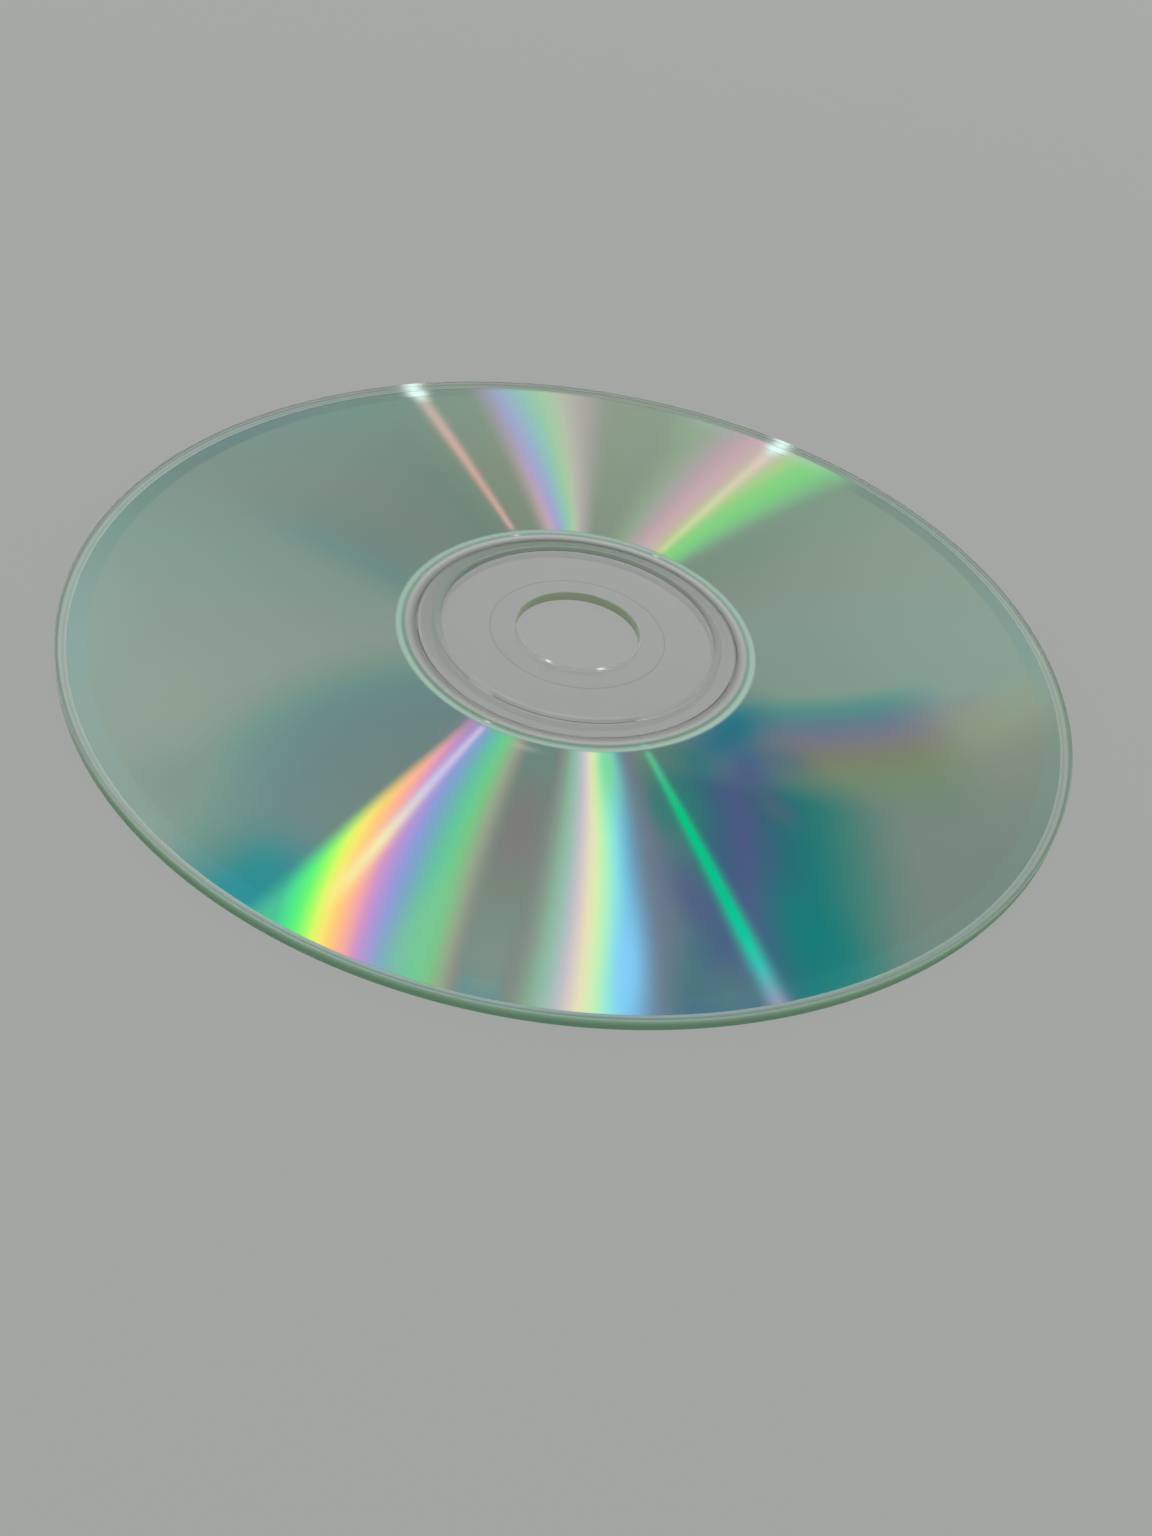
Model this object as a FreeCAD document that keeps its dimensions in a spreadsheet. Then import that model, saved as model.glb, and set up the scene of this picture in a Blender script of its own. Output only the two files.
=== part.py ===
import FreeCAD, Part
import os

import Sketcher

# A recordable disc of 120 mm, lying with its label side down and its data side up.
# It is two solids: a clear plastic moulding, and the film on the moulding's underside
# that is seen through it. Both are round about the Z axis. Lengths are in millimetres.
# The origin is on the axis, in the plane of the film's underside, on which the disc lies.

PARTS_FOLDER = "parts"
SHEET = "Sizes"

# Driving dimensions. The rings of the hub follow each other outwards from the bore,
# and the film's outer edge keeps its distance from the rim.
SIZES = {
    # The plain disc
    "disc_diameter": 120.0,
    "disc_thickness": 1.2,
    "rim_edge_radius": 0.15,
    "bore_diameter": 15.0,
    "bore_edge_radius": 0.1,
    # Largest share of a wall's height that the radius of its edge takes
    "edge_share": 0.45,
    # Fine parting line of the mould around the bore, in the underside
    "mould_line_offset": 3.1,
    "mould_line_width": 0.12,
    "mould_line_depth": 0.03,
    # Raised ring on the upper face, which keeps stacked discs apart
    "hub_face_width": 9.0,
    "stack_ring_width": 1.0,
    "stack_ring_height": 0.3,
    "stack_ring_slope": 0.3,
    "stack_ring_edge_radius": 0.1,
    # Groove that the mould's ring leaves in the underside, just inside the film
    "clear_band_width": 1.7,
    "ring_groove_width": 0.35,
    "ring_groove_depth": 0.1,
    "ring_groove_slope": 0.12,
    # The film: dye, metal and lacquer together
    "film_setback": 0.05,
    "film_thickness": 0.03,
    "clear_rim_width": 1.3,
}

# Radii that follow from the driving dimensions, as expressions on the sheet
RIM_RADIUS = f"{SHEET}.disc_diameter / 2"
BORE_RADIUS = f"{SHEET}.bore_diameter / 2"
MOULD_LINE_RADIUS = f"{BORE_RADIUS} + {SHEET}.mould_line_offset"
STACK_RING_INNER = f"{BORE_RADIUS} + {SHEET}.hub_face_width"
STACK_RING_OUTER = f"{STACK_RING_INNER} + {SHEET}.stack_ring_width"
GROOVE_INNER = f"{STACK_RING_OUTER} + {SHEET}.clear_band_width"
GROOVE_OUTER = f"{GROOVE_INNER} + {SHEET}.ring_groove_width"
FILM_INNER = f"{GROOVE_OUTER} + {SHEET}.film_setback"
FILM_OUTER = f"{RIM_RADIUS} - {SHEET}.clear_rim_width"

# Heights above the moulding's underside
UNDERSIDE = "0"
TOP = f"{SHEET}.disc_thickness"
STACK_RING_TOP = f"{TOP} + {SHEET}.stack_ring_height"

# A sketch's own numbers for its origin and its horizontal axis, and for a line's ends
SKETCH_ORIGIN = (-1, 1)
SKETCH_HORIZONTAL = -1
LINE_START = 1
LINE_END = 2
CIRCLE_CENTRE = 3

FULL_TURN = 360.0
# Any length that a new constraint has until its expression is set
UNSET_LENGTH = 1.0
# Two places closer than this are the same
TOLERANCE = 1e-6


def make_sheet(document):
    """Put the driving dimensions into a spreadsheet, one named cell each."""
    sheet = document.addObject("Spreadsheet::Sheet", SHEET)
    for row, (alias, size) in enumerate(SIZES.items(), start=1):
        sheet.set(f"A{row}", alias)
        sheet.set(f"B{row}", str(size))
        sheet.setAlias(f"B{row}", alias)
    document.recompute()
    return sheet


def make_body(document, label):
    """Add an empty body whose label is the name of the sub-part."""
    body = document.addObject("PartDesign::Body", label)
    body.Label = label
    return body


def size_of(body, expression):
    """Work out an expression on the sheet as a plain number."""
    return float(body.evalExpression(expression))


def volume_of(body):
    """Give a body's volume, which is nothing before its first feature."""
    return body.Shape.Volume if body.Tip else 0.0


def add_sketch(body, name, role):
    """Add an empty sketch on the body's own origin plane with this role."""
    plane = next(item for item in body.Origin.OriginFeatures if item.Role == role)
    sketch = body.newObject("Sketcher::SketchObject", name)
    sketch.AttachmentSupport = [(plane, "")]
    sketch.MapMode = "FlatFace"
    sketch.Visibility = False
    return sketch


def hold(sketch, name, expression, kind, *places):
    """Add a constraint and bind its size to an expression on the sheet."""
    number = sketch.addConstraint(Sketcher.Constraint(kind, *places, UNSET_LENGTH))
    sketch.renameConstraint(number, name)
    sketch.setExpression(f"Constraints.{name}", expression)


def draw_section(body, name, corners):
    """Draw a closed section with straight sides in a plane through the axis.

    Each corner is a pair of expressions: its radius, and its height above the
    moulding's underside.
    """
    sketch = add_sketch(body, name, "XZ_Plane")
    points = [FreeCAD.Vector(size_of(body, radius), size_of(body, height), 0)
              for radius, height in corners]
    for start, end in zip(points, points[1:] + points[:1]):
        sketch.addGeometry(Part.LineSegment(start, end))
    for line, (radius, height) in enumerate(corners):
        before = (line - 1) % len(corners)
        corner = (line, LINE_START)
        sketch.addConstraint(Sketcher.Constraint("Coincident", before, LINE_END, *corner))
        hold(sketch, f"radius_{line}", radius, "DistanceX", *SKETCH_ORIGIN, *corner)
        if height == UNDERSIDE:
            sketch.addConstraint(
                Sketcher.Constraint("PointOnObject", *corner, SKETCH_HORIZONTAL))
        else:
            hold(sketch, f"height_{line}", height, "DistanceY", *SKETCH_ORIGIN, *corner)
    return sketch


def turn_section(body, kind, name, corners):
    """Turn a section once round the axis, as a Revolution or a Groove."""
    before = volume_of(body)
    sketch = draw_section(body, f"{name}_section", corners)
    feature = body.newObject(f"PartDesign::{kind}", name)
    feature.Profile = sketch
    feature.ReferenceAxis = (sketch, ["V_Axis"])
    feature.Angle = FULL_TURN
    body.Document.recompute()
    gained = volume_of(body) - before
    if (gained < 0) != (kind == "Groove") or gained == 0:
        raise RuntimeError(f"{name} changed the volume the wrong way: {gained:.6f} mm3")
    return feature


def find_circles(shape, places):
    """Name the circular edges of a shape that have one of these radii and heights."""
    names = []
    for number, edge in enumerate(shape.Edges, start=1):
        if not isinstance(edge.Curve, Part.Circle):
            continue
        circle = (edge.Curve.Radius, edge.Curve.Center.z)
        if any(max(abs(circle[0] - radius), abs(circle[1] - height)) < TOLERANCE
               for radius, height in places):
            names.append(f"Edge{number}")
    return names


def round_edges(body, name, rings, radius, wall):
    """Round the circular edges at these rings, by no more than their wall allows."""
    base = body.Tip
    places = [(size_of(body, ring), size_of(body, height)) for ring, height in rings]
    names = find_circles(base.Shape, places)
    if len(names) != len(rings):
        raise RuntimeError(f"{name} found {len(names)} of its {len(rings)} edges")
    feature = body.newObject("PartDesign::Fillet", name)
    feature.Base = (base, names)
    feature.setExpression("Radius", f"min({radius}; {SHEET}.edge_share * ({wall}))")
    body.Document.recompute()
    return feature


def make_substrate(document):
    """Model the clear moulding, and seat it on the film."""
    body = make_body(document, "clear_substrate")
    add_plain_disc(body)
    add_stack_ring(body)
    cut_mould_line(body)
    cut_ring_groove(body)
    body.setExpression(".Placement.Base.z", f"{SHEET}.film_thickness")
    return body


def add_plain_disc(body):
    """Model the flat disc with its bore, and round the edges of rim and bore."""
    turn_section(body, "Revolution", "disc", [
        (BORE_RADIUS, UNDERSIDE),
        (RIM_RADIUS, UNDERSIDE),
        (RIM_RADIUS, TOP),
        (BORE_RADIUS, TOP),
    ])
    for name, ring in (("rim", RIM_RADIUS), ("bore", BORE_RADIUS)):
        edges = [(ring, UNDERSIDE), (ring, TOP)]
        round_edges(body, f"{name}_edges", edges, f"{SHEET}.{name}_edge_radius", TOP)


def add_stack_ring(body):
    """Model the raised ring on the upper face, with sloping sides and soft edges."""
    crest_inner = f"{STACK_RING_INNER} + {SHEET}.stack_ring_slope"
    crest_outer = f"{STACK_RING_OUTER} - {SHEET}.stack_ring_slope"
    turn_section(body, "Revolution", "stack_ring", [
        (STACK_RING_INNER, TOP),
        (STACK_RING_OUTER, TOP),
        (crest_outer, STACK_RING_TOP),
        (crest_inner, STACK_RING_TOP),
    ])
    crest = [(crest_inner, STACK_RING_TOP), (crest_outer, STACK_RING_TOP)]
    radius = f"{SHEET}.stack_ring_edge_radius"
    round_edges(body, "stack_ring_edges", crest, radius, f"{SHEET}.stack_ring_height")


def cut_mould_line(body):
    """Cut the fine parting line around the bore, a shallow V in the underside."""
    half_width = f"{SHEET}.mould_line_width / 2"
    turn_section(body, "Groove", "mould_line", [
        (f"{MOULD_LINE_RADIUS} - {half_width}", UNDERSIDE),
        (f"{MOULD_LINE_RADIUS} + {half_width}", UNDERSIDE),
        (MOULD_LINE_RADIUS, f"{SHEET}.mould_line_depth"),
    ])


def cut_ring_groove(body):
    """Cut the groove with sloping sides in the underside, just inside the film."""
    slope = f"{SHEET}.ring_groove_slope"
    depth = f"{SHEET}.ring_groove_depth"
    turn_section(body, "Groove", "ring_groove", [
        (GROOVE_INNER, UNDERSIDE),
        (GROOVE_OUTER, UNDERSIDE),
        (f"{GROOVE_OUTER} - {slope}", depth),
        (f"{GROOVE_INNER} + {slope}", depth),
    ])


def make_film(document):
    """Model the film under the moulding, a thin flat ring between clear hub and rim."""
    body = make_body(document, "recording_film")
    sketch = add_sketch(body, "film_section", "XY_Plane")
    for name, radius in (("outer", FILM_OUTER), ("inner", FILM_INNER)):
        circle = Part.Circle(FreeCAD.Vector(), FreeCAD.Vector(0, 0, 1),
                             size_of(body, radius))
        number = sketch.addGeometry(circle)
        sketch.addConstraint(
            Sketcher.Constraint("Coincident", number, CIRCLE_CENTRE, *SKETCH_ORIGIN))
        hold(sketch, f"{name}_radius", radius, "Radius", number)
    pad = body.newObject("PartDesign::Pad", "film")
    pad.Profile = sketch
    pad.setExpression("Length", f"{SHEET}.film_thickness")
    return body


def check_document(document):
    """Stop if any object of the document has failed."""
    for item in document.Objects:
        if {"Invalid", "Error"} & set(item.State):
            raise RuntimeError(f"{item.Name} failed: {item.State}")


def write_part(body):
    """Check one sub-part's shape, write it to its file and print what it measures."""
    shape = body.Shape
    if shape.isNull() or not shape.isValid() or len(shape.Solids) != 1:
        raise RuntimeError(f"{body.Label} isn't one valid solid")
    shape.exportStep(os.path.join(PARTS_FOLDER, f"{body.Label}.step"))
    box = shape.optimalBoundingBox(False, False)
    print(f"{body.Label}: {shape.Volume:.3f} mm3, {box.XLength:.3f} x {box.YLength:.3f} mm, "
          f"z {box.ZMin:.3f} to {box.ZMax:.3f} mm")


def main():
    """Build the document, check it and write its sub-parts."""
    document = FreeCAD.newDocument("compact_disc")
    make_sheet(document)
    bodies = [make_substrate(document), make_film(document)]
    document.recompute()
    check_document(document)
    os.makedirs(PARTS_FOLDER, exist_ok=True)
    for body in bodies:
        write_part(body)


main()
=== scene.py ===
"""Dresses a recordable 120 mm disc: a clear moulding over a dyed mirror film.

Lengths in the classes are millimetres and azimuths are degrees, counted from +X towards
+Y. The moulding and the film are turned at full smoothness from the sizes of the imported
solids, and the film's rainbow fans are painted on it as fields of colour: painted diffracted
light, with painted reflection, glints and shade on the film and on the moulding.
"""

import logging
import math
from dataclasses import dataclass, field, replace
from typing import Any, Iterable

import bmesh
import bpy
from mathutils import Matrix, Vector


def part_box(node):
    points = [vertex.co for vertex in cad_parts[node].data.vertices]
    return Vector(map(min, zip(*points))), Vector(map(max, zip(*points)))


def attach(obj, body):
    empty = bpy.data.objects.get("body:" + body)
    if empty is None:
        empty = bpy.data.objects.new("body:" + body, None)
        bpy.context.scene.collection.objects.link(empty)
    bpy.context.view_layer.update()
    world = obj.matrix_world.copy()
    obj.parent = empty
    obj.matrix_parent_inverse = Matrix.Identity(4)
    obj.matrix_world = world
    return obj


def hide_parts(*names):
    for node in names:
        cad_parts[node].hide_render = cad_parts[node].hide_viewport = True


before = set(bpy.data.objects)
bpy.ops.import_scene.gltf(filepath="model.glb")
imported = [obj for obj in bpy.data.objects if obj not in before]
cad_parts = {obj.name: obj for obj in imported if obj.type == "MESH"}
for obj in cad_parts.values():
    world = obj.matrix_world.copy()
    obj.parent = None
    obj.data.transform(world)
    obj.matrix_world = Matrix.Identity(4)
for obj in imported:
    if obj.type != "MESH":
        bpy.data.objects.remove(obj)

LOG = logging.getLogger("disc")

MM = 0.001
HALF_TURN = 180.0
QUARTER_TURN = 90.0
ROOT = "root"
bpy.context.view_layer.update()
WHITE = (1.0, 1.0, 1.0, 1.0)
PLASTIC_INDEX = 1.585
FAR_AZIMUTH = 110.0

Colour = tuple[int, int, int]
Tint = tuple[float, float, float]
Pair = tuple[float, float]
Ring = Pair
Stop = tuple[float, Colour, float]
Socket = bpy.types.NodeSocket

# A screen's display curve: straight near black, and a power above its knee
SCREEN_FULL = 255
SCREEN_KNEE = 0.04045
SCREEN_SLOPE = 12.92
SCREEN_OFFSET = 0.055
SCREEN_POWER = 2.4

# The sockets of a Mix node that carry its share and its colours
MIX_SHARE = 0
MIX_BELOW = 6
MIX_ABOVE = 7
MIX_RESULT = 2


def linear(colour: Colour) -> tuple[float, float, float, float]:
    """Turn a display colour of 0 to 255 a channel into the renderer's own.

    Args:
        colour: Red, green and blue as they look on a screen.

    Returns:
        Linear red, green and blue from 0 to 1, and an alpha of 1.
    """
    def channel(value: int) -> float:
        """Undo the display curve of one channel."""
        share = value / SCREEN_FULL
        if share <= SCREEN_KNEE:
            return share / SCREEN_SLOPE
        return ((share + SCREEN_OFFSET) / (1 + SCREEN_OFFSET)) ** SCREEN_POWER

    red, green, blue = (channel(value) for value in colour)
    return red, green, blue, 1.0


class Signal:
    """A number inside a material, whose operators add Math nodes."""

    def __init__(self, board: "Board", socket: Socket) -> None:
        """Wrap one output socket of a board's node."""
        self.board = board
        self.socket = socket

    def __add__(self, other: "Signal | float") -> "Signal":
        """Add."""
        return self.board.maths("ADD", self, other)

    def __radd__(self, other: float) -> "Signal":
        """Add from the right."""
        return self.board.maths("ADD", other, self)

    def __sub__(self, other: "Signal | float") -> "Signal":
        """Subtract."""
        return self.board.maths("SUBTRACT", self, other)

    def __rsub__(self, other: float) -> "Signal":
        """Subtract from a plain number."""
        return self.board.maths("SUBTRACT", other, self)

    def __mul__(self, other: "Signal | float") -> "Signal":
        """Multiply."""
        return self.board.maths("MULTIPLY", self, other)

    def __rmul__(self, other: float) -> "Signal":
        """Multiply from the right."""
        return self.board.maths("MULTIPLY", other, self)

    def __truediv__(self, other: "Signal | float") -> "Signal":
        """Divide."""
        return self.board.maths("DIVIDE", self, other)

    def __pow__(self, other: "Signal | float") -> "Signal":
        """Raise to a power."""
        return self.board.maths("POWER", self, other)


class Board:
    """The node tree of one material."""

    def __init__(self, name: str) -> None:
        """Start an empty material.

        Args:
            name: The material's name.
        """
        self.material = bpy.data.materials.new(name)
        self.material.use_nodes = True
        self.tree = self.material.node_tree
        self.tree.nodes.clear()

    def node(self, kind: str, settings: dict[str, Any] | None = None,
             inputs: dict[str | int, Any] | None = None) -> bpy.types.Node:
        """Add any node, set it up and then feed its sockets.

        Args:
            kind: The node's type.
            settings: Its properties by name; "stops" are a ramp's places and colours.
            inputs: A value, a Signal or a socket for each input, by name or number.

        Returns:
            The new node.
        """
        node = self.tree.nodes.new(kind)
        for name, setting in (settings or {}).items():
            if name == "stops":
                self._set_stops(node.color_ramp, setting)
            else:
                setattr(node, name, setting)
        for name, value in (inputs or {}).items():
            if isinstance(value, Signal):
                value = value.socket
            if isinstance(value, Socket):
                self.tree.links.new(value, node.inputs[name])
            else:
                node.inputs[name].default_value = value
        return node

    @staticmethod
    def _set_stops(ramp: bpy.types.ColorRamp, stops: list[tuple[float, tuple]]) -> None:
        """Give a colour ramp exactly these stops.

        Args:
            ramp: The ramp of a new node.
            stops: The place from 0 to 1 and the colour of each stop, in order.
        """
        while len(ramp.elements) > 1:
            ramp.elements.remove(ramp.elements[-1])
        for number, (place, colour) in enumerate(stops):
            stop = ramp.elements[0] if number == 0 else ramp.elements.new(place)
            stop.position = place
            stop.color = colour

    def maths(self, operation: str, *values: "Signal | float") -> Signal:
        """Add a Math node.

        Args:
            operation: What it works out.
            values: Its inputs, in order.

        Returns:
            Its result.
        """
        inputs = dict(enumerate(values))
        node = self.node("ShaderNodeMath", {"operation": operation}, inputs)
        return Signal(self, node.outputs[0])

    def rise(self, value: Signal, low: float, high: float) -> Signal:
        """Go smoothly from 0 where a value is low to 1 where it is high.

        Args:
            value: What the rise follows.
            low: Where it starts.
            high: Where it ends.

        Returns:
            A share from 0 to 1.
        """
        node = self.node(
            "ShaderNodeMapRange",
            {"interpolation_type": "SMOOTHSTEP"},
            {"Value": value, "From Min": low, "From Max": high},
        )
        return Signal(self, node.outputs["Result"])

    def hump(self, value: Signal, width: float) -> Signal:
        """Give a bell curve, 1 where a value is 0 and about a third of that at its width."""
        share = value / width
        return self.maths("EXPONENT", share * share * -1.0)

    def within(self, value: Signal, low: float, high: float, softness: float) -> Signal:
        """Give 1 where a value lies between two others, and fall softly to 0 outside."""
        return self.rise(value, low - softness, low + softness) \
            * (1.0 - self.rise(value, high - softness, high + softness))

    def mix(self, below: Any, above: Any, share: Signal | float) -> Socket:
        """Lay one colour over another.

        Args:
            below: The colour that is covered.
            above: The colour that covers it.
            share: How far it covers, from 0 to 1.

        Returns:
            The mixed colour.
        """
        node = self.node(
            "ShaderNodeMix",
            {"data_type": "RGBA"},
            {MIX_SHARE: share, MIX_BELOW: below, MIX_ABOVE: above},
        )
        return node.outputs[MIX_RESULT]

    def blend(self, operation: str, *values: Any) -> Socket:
        """Work on whole colours with a Vector Math node."""
        node = self.node("ShaderNodeVectorMath", {"operation": operation}, dict(enumerate(values)))
        return node.outputs[0]

    def bands(self, value: Signal, stops: Iterable[Stop]) -> tuple[Socket, Signal]:
        """Run through colours as a value grows.

        Args:
            value: What the bands lie along.
            stops: The value, the colour as it looks and how far it covers, in order.

        Returns:
            The colour, and how far it covers what is below.
        """
        stops = list(stops)
        first, last = stops[0][0], stops[-1][0]
        places = [((place - first) / (last - first), linear(colour)[:3] + (cover,))
                  for place, colour, cover in stops]
        share = (value - first) / (last - first)
        node = self.node("ShaderNodeValToRGB", {"stops": places}, {"Fac": share})
        return node.outputs["Color"], Signal(self, node.outputs["Alpha"])

    def output(self, shader: Socket) -> bpy.types.Material:
        """Show a shader on the surface, and give the finished material."""
        self.node("ShaderNodeOutputMaterial", None, {"Surface": shader})
        return self.material


@dataclass
class PolarBoard(Board):
    """A material on a disc, which knows the azimuth and the radius of each place."""

    name: str
    across: Signal = field(init=False)
    along: Signal = field(init=False)
    height: Signal = field(init=False)
    azimuth: Signal = field(init=False)
    radius: Signal = field(init=False)

    def __post_init__(self) -> None:
        """Read the place on the disc from Object coordinates."""
        super().__init__(self.name)
        place = self.node("ShaderNodeTexCoord")
        split = self.node("ShaderNodeSeparateXYZ", None, {0: place.outputs["Object"]})
        self.across, self.along, self.height = (
            Signal(self, output) / MM for output in split.outputs)
        self.azimuth = self.maths("ARCTAN2", self.along, self.across) * math.degrees(1)
        self.radius = self.maths("SQRT", self.across * self.across + self.along * self.along)

    def past(self, azimuth: float) -> Signal:
        """Count degrees past an azimuth, from -180 to 180."""
        return self.maths("WRAP", self.azimuth - azimuth, HALF_TURN, -HALF_TURN)

    def turned(self) -> Signal:
        """Count degrees on from +X, from 0 to 360."""
        return self.past(HALF_TURN) + HALF_TURN

    def facing(self, azimuth: float) -> Signal:
        """Give 1 at an azimuth, and fall evenly to 0 on the disc's other side."""
        return self.maths("COSINE", self.past(azimuth) / math.degrees(1)) * 0.5 + 0.5


class Layer:
    """Something that is painted on the film over the colours below it."""

    def look(self, board: PolarBoard) -> tuple[Any, Signal]:
        """Give the layer's colour and how far it covers."""
        raise NotImplementedError

    def paint(self, board: PolarBoard, below: Socket) -> Socket:
        """Lay the layer over the colours below it.

        Args:
            board: The film's material.
            below: The colours so far.

        Returns:
            The colours with the layer on them.
        """
        return board.mix(below, *self.look(board))


@dataclass(frozen=True)
class Fan(Layer):
    """A rainbow fan of painted diffracted light on the film, whose bands run outwards side by side.

    Each stop gives the azimuth of a band at the reference radius. The first and the
    last band lean by so many degrees a millimetre, and those between them by a share.
    """

    stops: tuple[Stop, ...]
    leans: Pair
    window: Pair = (0.0, 360.0)
    window_lean: float = 0.0
    softness: float = 1.5
    reference: float = 38.0

    def look(self, board: PolarBoard) -> tuple[Socket, Signal]:
        """Give the fan's colours and how far they cover.

        Args:
            board: The film's material.

        Returns:
            The colours, and how far they cover.
        """
        first, last = self.stops[0][0], self.stops[-1][0]
        out = board.radius - self.reference
        breadth = out * (self.leans[1] - self.leans[0]) + (last - first)
        share = (board.past(first) - out * self.leans[0]) / breadth
        colour, cover = board.bands(share * (last - first) + first, self.stops)
        middle = (self.window[0] + self.window[1]) / 2
        spot = board.past(middle) - out * self.window_lean
        half = (self.window[1] - self.window[0]) / 2
        return colour, cover * board.within(spot, -half, half, self.softness)


@dataclass(frozen=True)
class Sweep(Layer):
    """A drift of painted diffracted light and shade over the film, which runs along a heading or
    bends from it.

    Each stop gives a distance to the right of the drift's line, in millimetres. The line
    bends round a circle of the radius that bend gives, to the right or, below 0, to the left.
    """

    origin: Pair
    heading: float
    stops: tuple[Stop, ...]
    reach: Pair
    softness: float = 4.0
    bend: float = 2000.0

    def look(self, board: PolarBoard) -> tuple[Socket, Signal]:
        """Give the drift's colours and how far they cover.

        Args:
            board: The film's material.

        Returns:
            The colours, and how far they cover.
        """
        ahead = Vector((math.cos(math.radians(self.heading)), math.sin(math.radians(self.heading))))
        across, along = board.across - self.origin[0], board.along - self.origin[1]
        forth = across * ahead.x + along * ahead.y
        sideways, onward = across - ahead.y * self.bend, along + ahead.x * self.bend
        reach = board.maths("SQRT", sideways * sideways + onward * onward)
        aside = (abs(self.bend) - reach) * math.copysign(1.0, self.bend)
        colour, cover = board.bands(aside, self.stops)
        return colour, cover * board.within(forth, *self.reach, self.softness)


@dataclass(frozen=True)
class Ray(Layer):
    """A painted thin line of light that runs outwards over the film, with a painted glint at the
    dye's edge.

    Each stop gives a radius, the colour there and how far it covers.
    """

    azimuth: float
    lean: float
    width: float
    stops: tuple[Stop, ...]
    painted_glint: Colour
    painted_glint_radius: float = 21.0
    painted_glint_size: float = 0.16
    reference: float = 38.0

    def paint(self, board: PolarBoard, below: Socket) -> Socket:
        """Lay the line over the colours below it, and then its painted glint.

        Args:
            board: The film's material.
            below: The colours so far.

        Returns:
            The colours with the line and the painted glint on them.
        """
        side = board.past(self.azimuth) - (board.radius - self.reference) * self.lean
        share = board.hump(side, self.width)
        colour, cover = board.bands(board.radius, self.stops)
        painted = board.mix(below, colour, share * cover)
        # Painted glint: a bright spot where the line crosses the dye's edge
        spot = board.hump(board.radius - self.painted_glint_radius, self.painted_glint_size)
        return board.mix(painted, linear(self.painted_glint), share * spot)


@dataclass(frozen=True)
class Streak(Layer):
    """A soft field of painted light and shade in one colour on the film, longer or shorter than it
    is wide.
    """

    colour: Colour
    cover: float
    azimuth: float
    width: float
    radius: float
    length: float
    lean: float = 0.0

    def look(self, board: PolarBoard) -> tuple[tuple, Signal]:
        """Give the field's colour and how far it covers.

        Args:
            board: The film's material.

        Returns:
            The colour, and how far it covers.
        """
        out = board.radius - self.radius
        side = board.past(self.azimuth) - out * self.lean
        share = board.hump(side, self.width) * board.hump(out, self.length)
        return linear(self.colour), share * self.cover


# The film's grey-green dye tint, with painted reflection and diffracted light that change it by
# azimuth, under everything else
FILM_GREYS: tuple[Stop, ...] = (
    (0, (131, 156, 143), 1.0),
    (20, (135, 156, 144), 1.0),
    (40, (134, 151, 137), 1.0),
    (52, (125, 148, 132), 1.0),
    (88, (135, 152, 133), 1.0),
    (115, (128, 145, 127), 1.0),
    (128, (116, 138, 125), 1.0),
    (145, (124, 140, 131), 1.0),
    (160, (126, 143, 134), 1.0),
    (176, (128, 153, 143), 1.0),
    (190, (137, 155, 144), 1.0),
    (210, (141, 157, 145), 1.0),
    (240, (138, 156, 143), 1.0),
    (268, (122, 128, 124), 1.0),
    (285, (104, 126, 130), 1.0),
    (296, (76, 124, 122), 1.0),
    (330, (100, 128, 122), 1.0),
    (350, (130, 155, 141), 1.0),
    (360, (131, 156, 143), 1.0),
)

# The widest drift on the film's right side; narrower ones follow its line
RIGHT_BRANCH = Sweep(
    origin=(34.8, -9.3),
    heading=25.0,
    bend=-60.0,
    stops=(
        (2.0, (133, 143, 126), 0.0),
        (5.0, (132, 143, 124), 0.8),
        (9.0, (127, 139, 126), 1.0),
        (14.0, (122, 136, 124), 1.0),
        (24.0, (116, 131, 121), 1.0),
        (36.0, (112, 130, 120), 1.0),
    ),
    reach=(-35.0, 60.0),
)
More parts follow.
